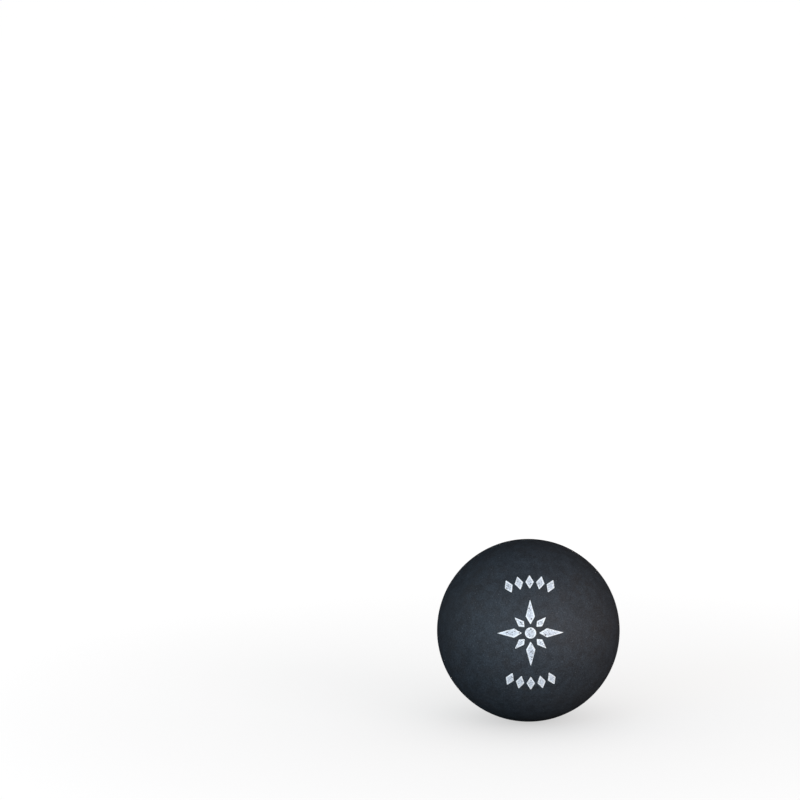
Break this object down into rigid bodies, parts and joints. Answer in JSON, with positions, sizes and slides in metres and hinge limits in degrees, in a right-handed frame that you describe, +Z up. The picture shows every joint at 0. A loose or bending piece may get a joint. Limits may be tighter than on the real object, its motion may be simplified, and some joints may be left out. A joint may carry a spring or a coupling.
{
  "type": "squash ball",
  "caption": "Hollow matte black rubber squash ball of cemented half shells, buffed to one sphere, with a silver star and lozenges printed on its front.",
  "frame": {"origin": "centre of the ball", "axes": "+Z up, -Y towards the front, where the printed marks are; the cemented joint between the half shells lies in the XZ plane"},
  "size_m": [0.057, 0.057, 0.057],
  "materials": {
    "rubber": "matte",
    "cement": "satin",
    "ink": "satin"
  },
  "bodies": {
    "root": {"front_half_shell": "rubber", "rear_half_shell": "rubber", "seam_cement": "cement", "centre_print": "ink", "upper_print": "ink", "lower_print": "ink"}
  },
  "joints": []
}
